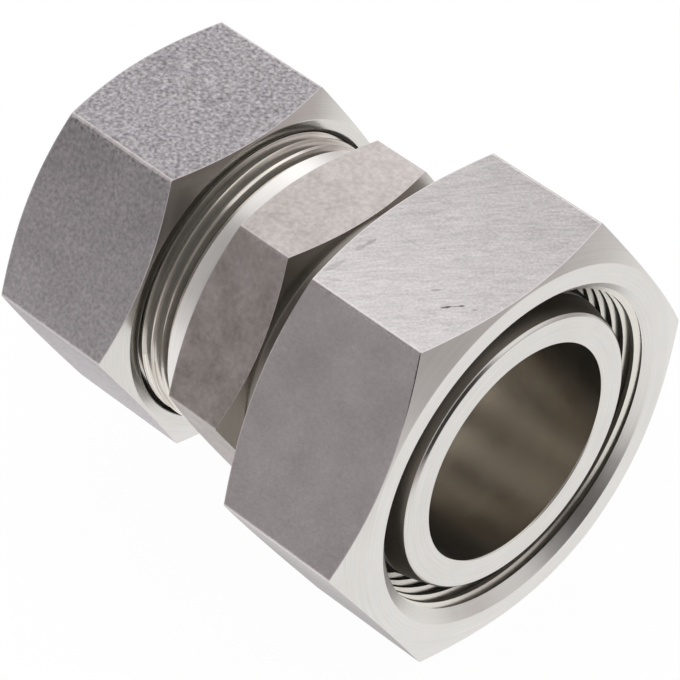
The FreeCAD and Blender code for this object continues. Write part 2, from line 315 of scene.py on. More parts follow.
@dataclass(frozen=True)
class Scratch:
    """One mark on the upper flat, by its ends along and across the axis."""

    start: Point
    end: Point
    width: float = 0.1
    strength: float = 1.0


@dataclass(frozen=True)
class BarFinish:
    """Matte flats of hexagon bar: grain, brush strokes, stains, scratches, worn edges and painted
    shade.
    """

    name: str
    hexagon: Hexagon
    dark: Colour
    light: Colour
    edge: Colour = (0.84, 0.77, 0.77)
    mark: Colour = (0.08, 0.07, 0.07)
    roughness: float = 0.5
    grain_size: float = 0.3
    grain_contrast: float = 0.5
    grain_depth: float = 0.012
    stroke_length: float = 4.0
    stroke_width: float = 0.35
    stroke_contrast: float = 0.2
    stroke_angle: float = 48.0
    stroke_bend: float = 0.8
    stain_size: float = 9.0
    stain_contrast: float = 0.35
    side_share: float = 0.5
    upper_depth: float = 0.5
    shade_across: float = 0.0
    shade_up: float = 0.0
    edge_width: float = 0.22
    edge_raggedness: float = 0.8
    edge_strength: float = 0.9
    long_edge_inset: float = 0.13
    long_edge_width: float = 0.05
    patch_size: float = 3.0
    patch_level: float = 0.45
    burr: Span | None = None
    burr_fade_radians: Span = (0.02, 0.15)
    burr_strength: float = 2.5
    mark_depth: float = 0.2
    mark_softness: float = 0.12
    mark_relief: float = 3.0
    mark_gain: float = 3.0
    mark_gaps: float = 0.7
    scratches: tuple[Scratch, ...] = ()

    def material(self) -> bpy.types.Material:
        """Builds the material.

        Returns:
            The material, which reads the piece's own coordinates.
        """
        material, graph = new_material(self.name)
        place = graph.node("ShaderNodeTexCoord", out="Object")
        grain = graph.noise(place, self.grain_size, detail=2.0, roughness=0.6)
        stain = graph.noise(place, self.stain_size, detail=4.0, roughness=0.6)
        strokes = self._strokes(graph, place)
        marks = self._marks(graph, place)
        worn, burr = self._worn(graph, place, grain)
        skin = (grain - 0.5) * self.grain_contrast + (strokes - 0.5) * self.stroke_contrast
        across, height = graph.parts(place)[1:]
        upper = graph.math("GREATER_THAN", height, (self.hexagon.flat - self.upper_depth) * MM)
        share = self.side_share + upper * (1.0 - self.side_share)
        # Painted shade: the level rises or falls evenly across the flat and with height, for how the
        # light falls on each flat.
        above = height - self.hexagon.flat * MM
        shade = across * (self.shade_across / MM) + above * (self.shade_up / MM)
        level = 0.5 + (skin * share + (stain - 0.5) * self.stain_contrast) * 2.0 + shade
        plain = graph.blend(graph.clamp(level), rgba(self.dark), rgba(self.light))
        broken = graph.clamp(grain * self.mark_gain - self.mark_gaps)
        marked = graph.blend(marks * broken, plain, rgba(self.mark))
        rubbed = graph.blend(worn, marked, rgba(self.edge))
        colour = graph.blend(burr, rubbed, rgba(self.mark))
        relief = grain + strokes * self.stroke_contrast - marks * self.mark_relief
        graph.principled({
            "Base Color": colour,
            "Metallic": 1.0 - worn * 0.5,
            "Roughness": graph.clamp(self.roughness + (stain - 0.5) * 0.2 - worn * 0.1),
            "Normal": graph.bump(self.grain_depth, relief),
        })
        return material

    def _strokes(self, graph: Graph, place: Signal) -> Signal:
        """Draws the soft strokes that brushing left, at an angle to the axis.

        Args:
            graph: The material's graph.
            place: The point on the piece.

        Returns:
            How light each point is, from 0 to 1.
        """
        size = Vector((self.stroke_length, self.stroke_width, self.stroke_width)) * MM
        turn = (0.0, 0.0, math.radians(self.stroke_angle))
        laid = graph.node(
            "ShaderNodeMapping",
            {"Vector": place, "Rotation": turn, "Scale": size},
            {"vector_type": "TEXTURE"},
        )
        return graph.node(
            "ShaderNodeTexNoise",
            {"Vector": laid, "Scale": 1.0, "Detail": 3.0, "Distortion": self.stroke_bend},
        )

    def _marks(self, graph: Graph, place: Signal) -> Value:
        """Draws the single scratches of the upper flat.

        Args:
            graph: The material's graph.
            place: The point on the piece.

        Returns:
            How deep each point is scratched, or 0 where there are no scratches.
        """
        total: Value = 0.0
        along, across, height = graph.parts(place)
        upper = graph.math("GREATER_THAN", height, (self.hexagon.flat - self.mark_depth) * MM)
        for scratch in self.scratches:
            start = Vector(scratch.start)
            run = Vector(scratch.end) - start
            length = run.length
            run.normalize()
            ahead = along - start.x * MM
            beside = across - start.y * MM
            travel = (ahead * run.x + beside * run.y) / (length * MM)
            offset = graph.math("ABSOLUTE", beside * run.x - ahead * run.y)
            taper = graph.clamp(travel * (1.0 - travel) * 4.0)
            inside = graph.clamp(
                (taper * (scratch.width * MM) - offset) / (self.mark_softness * MM)
            )
            total = inside * upper * scratch.strength + total
        return total

    def _worn(self, graph: Graph, place: Signal, grain: Signal) -> tuple[Signal, Signal]:
        """Finds the edges of the flats, where handling has rubbed the skin bright.

        Args:
            graph: The material's graph.
            place: The point on the piece.
            grain: Fine noise, which makes the lines ragged.

        Returns:
            How bright the edge is rubbed, and how dark its burr is.
        """
        along, across, height = graph.parts(place)
        bar = self.hexagon
        radius = graph.length(across, height)
        ragged = (grain - 0.5) * (self.edge_width * self.edge_raggedness * MM)
        line = (bar.corner_radius() - self.long_edge_inset) * MM
        total = graph.clamp((radius - line + ragged * 0.5) / (self.long_edge_width * MM))
        drop = (radius - bar.chamfer_start() * MM) * bar.rise()
        ends = []
        for gap in (along - bar.back * MM - drop, bar.front * MM - along - drop):
            near = 1.0 - (graph.math("ABSOLUTE", gap) + ragged) / (self.edge_width * MM)
            ends.append(graph.clamp(near))
            total = total + ends[-1]
        patches = graph.noise(place, self.patch_size, detail=2.0, roughness=0.6)
        patchy = patches + self.patch_level
        worn = graph.clamp(graph.clamp(total) * patchy * self.edge_strength)
        if self.burr is None:
            return worn, worn * 0.0
        angle = graph.math("ARCTAN2", height, across)
        first, last = (math.radians(turn) for turn in self.burr)
        near, far = self.burr_fade_radians
        inside = graph.clamp((angle - first) / near) * graph.clamp((last - angle) / far)
        return worn * (1.0 - inside), graph.clamp(ends[1] * self.burr_strength) * inside


@dataclass(frozen=True)
class TurnedFinish:
    """Bright turned metal, with the fine rings that the tool left round the axis."""

    name: str
    dark: Colour
    light: Colour
    roughness: float = 0.2
    ring_size: float = 0.16
    ring_contrast: float = 0.4
    ring_depth: float = 0.0015
    ring_drift: float = 0.0002
    stain_size: float = 6.0
    metallic: float = 1.0

    def material(self) -> bpy.types.Material:
        """Builds the material.

        Returns:
            The material, which reads the piece's own coordinates.
        """
        material, graph = new_material(self.name)
        place = graph.node("ShaderNodeTexCoord", out="Object")
        along, side, up = graph.parts(place)
        radius = graph.length(side, up)
        turn = graph.math("ARCTAN2", up, side) * self.ring_drift
        rings = graph.noise(
            graph.combine(along, radius, turn), self.ring_size, detail=2.0, roughness=0.7
        )
        stain = graph.noise(place, self.stain_size, detail=3.0)
        level = 0.5 + (rings - 0.5) * (2 * self.ring_contrast) + (stain - 0.5) * 0.5
        colour = graph.blend(graph.clamp(level), rgba(self.dark), rgba(self.light))
        graph.principled({
            "Base Color": colour,
            "Metallic": self.metallic,
            "Roughness": graph.clamp(self.roughness + (stain - 0.5) * 0.15),
            "Normal": graph.bump(self.ring_depth, rings),
        })
        return material


@dataclass(frozen=True)
class RubberFinish:
    """Dull black sealing rubber."""

    name: str
    colour: Colour
    roughness: float = 0.55
    speck_size: float = 0.3
    speck_light: float = 1.6

    def material(self) -> bpy.types.Material:
        """Builds the material.

        Returns:
            The material, which reads the piece's own coordinates.
        """
        material, graph = new_material(self.name)
        place = graph.node("ShaderNodeTexCoord", out="Object")
        specks = graph.noise(place, self.speck_size, detail=3.0)
        paler = tuple(self.speck_light * part for part in self.colour)
        graph.principled({
            "Base Color": graph.blend(specks, rgba(self.colour), rgba(paler)),
            "Roughness": self.roughness + (specks - 0.5) * 0.2,
        })
        return material


BODY_HEXAGON = Hexagon(23.0, 6.4, 19.2, clock=-3.1)
TUBE_NUT_HEXAGON = Hexagon(25.0, -25.56, -1.56, clock=-1.9)
SWIVEL_NUT_HEXAGON = Hexagon(30.0, 25.1, 49.6)
SWIVEL_NUT_SCRATCHES = (
    Scratch((43.1, -9.6), (44.2, -8.1), width=0.24),
    Scratch((43.8, -8.6), (45.4, -6.8), width=0.12, strength=0.9),
    Scratch((44.6, -7.6), (45.3, -6.9), width=0.2, strength=0.8),
    Scratch((39.8, -8.1), (41.1, -6.8), width=0.2, strength=0.5),
    Scratch((42.4, -11.9), (43.8, -10.3), width=0.12, strength=0.4),
    Scratch((46.4, -6.9), (47.0, -6.3), width=0.24, strength=0.4),
    Scratch((27.5, -9.6), (27.8, -7.6), width=0.45, strength=0.3),
    Scratch((27.7, -7.9), (28.1, -5.8), width=0.4, strength=0.4),
    Scratch((27.4, -15.6), (27.9, -11.3), width=0.5, strength=0.25),
    Scratch((28.6, -16.0), (30.6, -14.7), width=0.3, strength=0.2),
    Scratch((28.2, -3.3), (34.6, -2.8), width=0.14, strength=0.25),
)


TURNED_FINISHES = (
    TurnedFinish("faced_ends", (0.64, 0.62, 0.59), (0.87, 0.85, 0.82), roughness=0.34),
    TurnedFinish("fine_faced_ends", (0.60, 0.58, 0.55), (0.80, 0.78, 0.75), roughness=0.2),
    # Painted shade: a dark copy of the faced steel, for faces that lie in shade.
    TurnedFinish("shaded_backs", (0.22, 0.2, 0.18), (0.36, 0.33, 0.3), roughness=0.34),
    TurnedFinish(
        "turned_outside", (0.80, 0.77, 0.74), (0.96, 0.94, 0.92), roughness=0.36, metallic=0.65
    ),
    TurnedFinish("bored_inside", (0.68, 0.64, 0.58), (0.84, 0.81, 0.76), roughness=0.2),
    # Oily steel, painted near black as painted shade for the thread's back flanks and the tube nut's
    # inside.
    TurnedFinish("oil_and_shade_steel", (0.07, 0.063, 0.055), (0.14, 0.13, 0.115), roughness=0.4),
    TurnedFinish("nut_inside", (0.62, 0.59, 0.53), (0.82, 0.78, 0.71), roughness=0.4),
    TurnedFinish(
        "cut_grooves", (0.42, 0.38, 0.335), (0.96, 0.91, 0.84), roughness=0.2, metallic=0.85,
        ring_size=0.4, ring_contrast=1.1, ring_depth=0.01,
    ),
    TurnedFinish("nut_grooves", (0.66, 0.63, 0.57), (0.86, 0.83, 0.77), roughness=0.25),
    TurnedFinish("hardened_ring", (0.40, 0.38, 0.34), (0.60, 0.57, 0.51), roughness=0.3),
    TurnedFinish("spring_wire", (0.34, 0.33, 0.32), (0.52, 0.50, 0.48), roughness=0.35),
)


@dataclass(frozen=True)
class Finishes:
    """Every finish on the fitting, as materials."""

    body: Dress
    tube_nut: Dress
    swivel_nut: Dress
    hardened: bpy.types.Material
    spring: bpy.types.Material
    rubber: bpy.types.Material


def make_finishes() -> Finishes:
    """Builds the finishes.

    Returns:
        The materials, by what they are used for.
    """
    tube_nut_flats = BarFinish(
        "blasted_flats", TUBE_NUT_HEXAGON, (0.24, 0.225, 0.237), (0.77, 0.735, 0.757),
        roughness=0.68, grain_size=0.56, grain_contrast=0.95, stroke_contrast=0.0,
        stain_contrast=0.2, edge_strength=0.6, shade_up=-0.008,
    )
    body_flats = BarFinish(
        "drawn_flats", BODY_HEXAGON, (0.40, 0.363, 0.34), (0.73, 0.68, 0.665),
        roughness=0.52, grain_size=0.8, stroke_contrast=0.0, stain_size=4.0,
        stain_contrast=0.6, edge_strength=0.2, side_share=0.9, shade_across=0.008,
    )
    swivel_nut_flats = BarFinish(
        "brushed_flats", SWIVEL_NUT_HEXAGON, (0.40, 0.372, 0.376), (0.71, 0.672, 0.676),
        roughness=0.45, grain_size=0.4, grain_contrast=0.5, stroke_length=2.8, stroke_width=0.55,
        stroke_contrast=0.5, stain_size=7.0, stain_contrast=0.3, edge_strength=0.6,
        shade_across=-0.014, shade_up=0.018, burr=(119.5, 137.0), scratches=SWIVEL_NUT_SCRATCHES,
    )
    steel = {finish.name: finish.material() for finish in TURNED_FINISHES}

    def dress(flats: BarFinish, ends: str, inside: str, grooves: str) -> Dress:
        """Picks the materials of one piece, by the names of their finishes.

        Args:
            flats: The finish of its hexagon's flats.
            ends: The finish of its end faces.
            inside: The finish of its bores.
            grooves: The finish of its thread.

        Returns:
            The material of each kind of surface.
        """
        return {
            Surface.FLATS: flats.material(),
            Surface.FACED: steel[ends],
            Surface.PARTED: steel["shaded_backs"],
            Surface.ROUND: steel["turned_outside"],
            Surface.BORED: steel[inside],
            Surface.GROOVES: steel[grooves],
            Surface.OILED: steel["oil_and_shade_steel"],
        }

    return Finishes(
        body=dress(body_flats, "fine_faced_ends", "bored_inside", "cut_grooves"),
        tube_nut=dress(tube_nut_flats, "fine_faced_ends", "oil_and_shade_steel", "nut_grooves"),
        swivel_nut=dress(swivel_nut_flats, "faced_ends", "nut_inside", "nut_grooves"),
        hardened=steel["hardened_ring"],
        spring=steel["spring_wire"],
        rubber=RubberFinish("sealing_rubber", (0.018, 0.018, 0.018)).material(),
    )


def arc(centre: Point, radius: float, start: float, end: float, steps: int = 12) -> list[Point]:
    """Lays points on an arc of a profile.

    Args:
        centre: The arc's centre, as station and radius.
        radius: The arc's own radius.
        start: Angle of the first point, from the axis direction towards a larger radius.
        end: Angle of the last point.
        steps: How many chords the arc has.

    Returns:
        The points, both ends among them.
    """
    points = []
    for step in range(steps + 1):
        angle = math.radians(start + (end - start) * step / steps)
        points.append(
            (centre[0] + radius * math.cos(angle), centre[1] + radius * math.sin(angle))
        )
    return points


def softened(profile: list[Point], reach: float = 0.1, steps: int = 3) -> list[Point]:
    """Rounds a closed profile's corners, as a tool and a deburring brush leave them.

    Args:
        profile: The corners, as stations and radii.
        reach: How far from the corner the rounding starts.
        steps: How many chords each rounding has.

    Returns:
        The profile with its corners rounded.
    """
    points: list[Point] = []
    count = len(profile)
    for index, corner in enumerate(profile):
        here = Vector(corner)
        before = Vector(profile[index - 1])
        after = Vector(profile[(index + 1) % count])
        room = min(reach, (before - here).length / 3, (after - here).length / 3)
        start = here + (before - here).normalized() * room
        end = here + (after - here).normalized() * room
        for step in range(steps + 1):
            share = step / steps
            curve = start.lerp(here, share).lerp(here.lerp(end, share), share)
            points.append((curve.x, curve.y))
    return points


@dataclass(frozen=True)
class Thread:
    """A right-hand metric thread cut along the axis."""

    crest_radius: float
    first: float
    turns: float
    side: Side
    depth: float
    mouth_width: float
    root_width: float
    pitch: float = 2.0
    start_angle: float = 200.0
    runout: float = 0.3
    clearance: float = 0.06
    samples_per_turn: int = 96


@dataclass(frozen=True)
class Hole:
    """A round cross hole through one wall."""

    radius: float
    station: float
    angle: float
    length: float
    sides: int = 40


@dataclass(frozen=True)
class WireGroove:
    """The round groove of the retaining wire, half in the body and half in its nut."""

    station: float = 29.0
    circle: float = 22.625
    seat: float = 1.3

    def half(self, wall: float) -> list[Point]:
        """Draws the half that is cut in a wall.

        Args:
            wall: The wall's radius, inside the wire's circle on the body and outside it in the nut.

        Returns:
            The points, from the back on the body and from the front in the nut.
        """
        lean = math.degrees(math.asin(abs(wall - self.circle) / self.seat))
        start = lean if wall > self.circle else 180.0 + lean
        centre = (self.station, self.circle)
        return arc(centre, self.seat, start, start + 180.0 - 2.0 * lean)


@dataclass(frozen=True)
class Touch:
    """Another finish for faces of one finish, by the way they face and their station."""

    on: Surface
    gets: Surface
    facing: Span = (-2.0, 2.0)
    stations: Span = (-100.0, 100.0)
    inward: bool = False


class Machining:
    """A Geometry Nodes tree that turns a profile, cuts it from bar and threads it."""

    PATH_RADIUS = 1.0
    NORMAL_WEIGHT = 100
    LEAST_INWARD = 0.01

    def __init__(self, name: str, materials: Dress) -> None:
        """Starts a tree whose input geometry is a profile's outline.

        Args:
            name: The tree's name.
            materials: The material of each kind of surface.
        """
        self.materials = materials
        self.drawn: list[bpy.types.Object] = []
        self.group = bpy.data.node_groups.new(name, "GeometryNodeTree")
        self.graph = Graph(self.group)
        self.values: dict[str, Any] = {}
        for way in ("INPUT", "OUTPUT"):
            self.group.interface.new_socket(
                "Geometry", in_out=way, socket_type="NodeSocketGeometry"
            )
        self.entry = self.graph.node("NodeGroupInput")

    def size(self, name: str, value: Value, kind: str = "Float") -> Signal:
        """Adds a named input to the tree.

        Args:
            name: The input's name.
            value: What the modifier gives it.
            kind: The socket's type, such as Float, Int, Object or Material.

        Returns:
            The input, for use in the tree.
        """
        socket = self.group.interface.new_socket(
            name, in_out="INPUT", socket_type=f"NodeSocket{kind}"
        )
        self.values[socket.identifier] = value
        return self.entry.also(name)

    def spun(
        self, name: str, outline: list[Point], surface: Surface = Surface.FACED
    ) -> Signal:
        """Revolves another outline, which is drawn for this tree alone.

        Args:
            name: The input's name.
            outline: The corners, as stations and radii.
            surface: The surface that the form has or leaves.

        Returns:
            The form as a closed mesh.
        """
        self.drawn.append(outline_object(name, outline))
        source = self.graph.node(
            "GeometryNodeObjectInfo",
            {"Object": self.size(name, self.drawn[-1], "Object")},
            out="Geometry",
        )
        return self.turned(source, surface)

    def turned(self, outline: Signal, surface: Surface = Surface.FACED) -> Signal:
        """Revolves a closed outline about the axis.

        Args:
            outline: The outline's edges.
            surface: The surface that the form has or leaves.

        Returns:
            The form as a closed mesh.
        """
        curve = self.graph.node("GeometryNodeMeshToCurve", {"Mesh": outline})
        path = self.graph.node(
            "GeometryNodeCurvePrimitiveCircle",
            {"Resolution": self._around(), "Radius": self.PATH_RADIUS * MM},
        )
        swept = self.graph.swept(path, curve)
        outward = self.graph.node("GeometryNodeFlipFaces", {"Mesh": swept})
        return self.dressed(self.graph.moved(outward, turn=(0.0, math.pi / 2, 0.0)), surface)

    def _around(self) -> Signal:
        """Gives the number of faces around the axis.

        Returns:
            One named input, the same at each call.
        """
        if "Faces around" not in self.entry.socket.node.outputs:
            return self.size("Faces around", AROUND, "Int")
        return self.entry.also("Faces around")

    def bar(self, hexagon: Hexagon) -> Signal:
        """Draws the hexagon bar, a little longer than the piece.

        Args:
            hexagon: The bar's sizes.

        Returns:
            The bar as a closed mesh.
        """
        graph = self.graph
        flat = self.size("Centre to flat", hexagon.flat * MM)
        edge = self.size("Edge radius", hexagon.edge_radius * MM)
        clock = self.size("Bar turn", math.radians(hexagon.clock))
        back = self.size("Bar back", (hexagon.back - hexagon.spare) * MM)
        front = self.size("Bar front", (hexagon.front + hexagon.spare) * MM)
        corners = graph.node(
            "GeometryNodeCurvePrimitiveCircle",
            {"Resolution": BAR_SIDES, "Radius": flat / CORNER_SHARE},
        )
        rounded = graph.node(
            "GeometryNodeFilletCurve",
            {"Curve": corners, "Count": hexagon.edge_steps, "Radius": edge},
            {"mode": "POLY"},
        )
        clocked = graph.moved(rounded, turn=graph.combine(0.0, 0.0, clock))
        start = graph.combine(back, 0.0, 0.0)
        end = graph.combine(front, 0.0, 0.0)
        path = graph.node("GeometryNodeCurvePrimitiveLine", {"Start": start, "End": end})
        return self.dressed(graph.swept(path, clocked, capped=True), Surface.FLATS)

    def cutter(self, thread: Thread) -> Signal:
        """Winds a bar of the groove's section into a helix that lifts out at its end.

        Args:
            thread: The thread's sizes.

        Returns:
            The helix as a closed mesh.
        """
        graph = self.graph
        side = thread.side.value
        crest = self.size("Crest radius", thread.crest_radius * MM)
        depth = self.size("Thread depth", thread.depth * MM)
        pitch = self.size("Pitch", thread.pitch * MM)
        turns = self.size("Turns", thread.turns)
        first = self.size("First groove", thread.first * MM)
        runout = self.size("Run-out turns", thread.runout)
        clearance = self.size("Cutter clearance", thread.clearance * MM)
        samples = self.size("Samples", round(thread.turns * thread.samples_per_turn), "Int")
        mouth = self.size("Groove mouth", thread.mouth_width * MM) * (side / 2)
        root = self.size("Groove root", thread.root_width * MM) * (side / 2)
        high = 0.0 - (crest + clearance * side)
        low = 0.0 - (crest - depth * side)
        section = graph.node(
            "GeometryNodeCurvePrimitiveQuadrilateral",
            {
                "Point 1": graph.combine(0.0 - mouth, high, 0.0),
                "Point 2": graph.combine(mouth, high, 0.0),
                "Point 3": graph.combine(root, low, 0.0),
                "Point 4": graph.combine(0.0 - root, low, 0.0),
            },
            {"mode": "POINTS"},
        )
        line = graph.node("GeometryNodeCurvePrimitiveLine", {"End": (1.0, 0.0, 0.0)})
        path = graph.node("GeometryNodeResampleCurve", {"Curve": line, "Count": samples})
        straight = graph.swept(path, section, capped=True)
        share, across, height = graph.parts(graph.node("GeometryNodeInputPosition"))
        turned = share * turns
        angle = turned * math.tau + math.radians(thread.start_angle)
        fade = graph.clamp((turned - turns + runout) / runout)
        radius = height + fade * (depth + clearance * 2.0) * side
        wound = graph.combine(
            first + turned * pitch + across,
            radius * graph.math("COSINE", angle),
            radius * graph.math("SINE", angle),
        )
        helix = graph.node("GeometryNodeSetPosition", {"Geometry": straight, "Position": wound})
        return self.dressed(helix, Surface.GROOVES)

    def drill(self, hole: Hole) -> Signal:
        """Makes the drill for a cross hole, from the axis outwards.

        Args:
            hole: The hole's sizes.

        Returns:
            The drill as a closed mesh.
        """
        radius = self.size("Hole radius", hole.radius * MM)
        length = self.size("Hole reach", hole.length * MM)
        station = self.size("Hole station", hole.station * MM)
        angle = self.size("Hole angle", math.radians(hole.angle - 90.0))
        graph = self.graph
        rod = graph.node(
            "GeometryNodeMeshCylinder", {"Vertices": hole.sides, "Radius": radius, "Depth": length}
        )
        lifted = graph.moved(rod, by=graph.combine(0.0, 0.0, length / 2))
        aimed = graph.moved(
            lifted, by=graph.combine(station, 0.0, 0.0), turn=graph.combine(angle, 0.0, 0.0)
        )
        return self.dressed(aimed, Surface.BORED)

    def joined(self, operation: str, first: Signal, second: Signal) -> Signal:
        """Combines two closed meshes.

        Args:
            operation: DIFFERENCE, INTERSECT or UNION.
            first: The mesh that is kept or cut.
            second: The other mesh.

        Returns:
            The combined mesh.
        """
        made = self.graph.node(
            "GeometryNodeMeshBoolean",
            {"Mesh 2": second},
            {"operation": operation, "solver": "MANIFOLD"},
        )
        # Only a difference has a first mesh. The others take every mesh at the second input.
        entry = "Mesh 1" if operation == "DIFFERENCE" else "Mesh 2"
        self.group.links.new(first.socket, made.socket.node.inputs[entry])
        return made

    def dressed(self, part: Signal, surface: Surface) -> Signal:
        """Gives one part of the form the finish of its surface."""
        return self.graph.node(
            "GeometryNodeSetMaterial", {"Geometry": part, "Material": self.finish(surface)}
        )

    def finish(self, surface: Surface) -> Signal:
        """Gives the named input that holds a surface's material.

        Args:
            surface: The kind of surface.

        Returns:
            One named input, the same at each call.
        """
        name = f"{surface.value} finish"
        if name in self.entry.socket.node.outputs:
            return self.entry.also(name)
        return self.size(name, self.materials[surface], "Material")

    def end(self, solid: Signal, touches: list[Touch]) -> None:
        """Sets the sharp edges and the last finishes, and ends the tree.

        Args:
            solid: The finished form.
            touches: The finishes that follow from how faces lie, in turn.
        """
        graph = self.graph
        smooth = graph.node("GeometryNodeSetShadeSmooth", {"Geometry": solid})
        steep = graph.math(
            "GREATER_THAN",
            graph.node("GeometryNodeInputMeshEdgeAngle"),
            math.radians(SHARP_ANGLE),
        )
        edged = graph.node(
            "GeometryNodeSetShadeSmooth",
            {"Geometry": smooth, "Selection": steep, "Shade Smooth": False},
            {"domain": "EDGE"},
        )
        shown = graph.node("GeometryNodeRealizeInstances", {"Geometry": edged})
        facing, across, height = graph.parts(graph.node("GeometryNodeInputNormal"))
        place = graph.parts(graph.node("GeometryNodeInputPosition"))
        outwards = across * place[1] + height * place[2]
        for touch in touches:
            chosen = graph.node(
                "GeometryNodeMaterialSelection", {"Material": self.finish(touch.on)}
            )
            for value, (low, high) in ((facing, touch.facing), (place[0] / MM, touch.stations)):
                chosen = chosen * graph.math("COMPARE", value, (low + high) / 2, (high - low) / 2)
            if touch.inward:
                chosen = chosen * graph.math("LESS_THAN", outwards, -self.LEAST_INWARD * MM)
            shown = graph.node(
                "GeometryNodeSetMaterial",
                {"Geometry": shown, "Material": self.finish(touch.gets), "Selection": chosen},
            )
        graph.node("NodeGroupOutput", {"Geometry": shown})

    def run(self, name: str, outline: list[Point]) -> bpy.types.Object:
        """Runs the tree on a profile and keeps the result as a plain mesh.

        Args:
            name: The piece's name.
            outline: The profile, as stations and radii.

        Returns:
            The finished piece.
        """
        blank = outline_object(f"{name}_outline", outline)
        modifier = blank.modifiers.new("machining", "NODES")
        modifier.node_group = self.group
        for identifier, value in self.values.items():
            modifier[identifier] = value
        even = blank.modifiers.new("even_normals", "WEIGHTED_NORMAL")
        even.keep_sharp = True
        even.weight = self.NORMAL_WEIGHT
        graph = bpy.context.evaluated_depsgraph_get()
        mesh = bpy.data.meshes.new_from_object(blank.evaluated_get(graph), depsgraph=graph)
        mesh.name = name
        for drawn in (blank, *self.drawn):
            bpy.data.objects.remove(drawn)
        return placed(name, mesh)


def outline_object(name: str, outline: list[Point]) -> bpy.types.Object:
    """Draws a closed outline as edges, placed for the sweep that revolves it.

    Args:
        name: The object's name.
        outline: The corners, as stations and radii.

    Returns:
        The object that holds the outline.
    """
    path = Machining.PATH_RADIUS
    count = len(outline)
    corners = [((radius - path) * MM, -station * MM, 0.0) for station, radius in outline]
    edges = [(corner, (corner + 1) % count) for corner in range(count)]
    mesh = bpy.data.meshes.new(name)
    mesh.from_pydata(corners, edges, [])
    return placed(name, mesh)


def hand_over(piece: bpy.types.Object, node: str, body: str) -> None:
    """Makes a piece stand for a node of the frame and ride on its body.

    Args:
        piece: The finished piece.
        node: The node it replaces.
        body: The body it moves with.
    """
    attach(piece, body)
    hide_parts(node)
    low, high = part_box(node)
    LOG.info(
        "%s: %d faces, rides on %s, x %.2f to %.2f mm",
        piece.name, len(piece.data.polygons), body, low.x / MM, high.x / MM,
    )


INSIDES = Touch(Surface.FACED, Surface.BORED, (-2.0, 0.73), inward=True)
# Painted shade: faced surfaces that look back or sideways take the dark shaded finish.
BACKS = Touch(Surface.FACED, Surface.PARTED, (-2.0, 0.3))


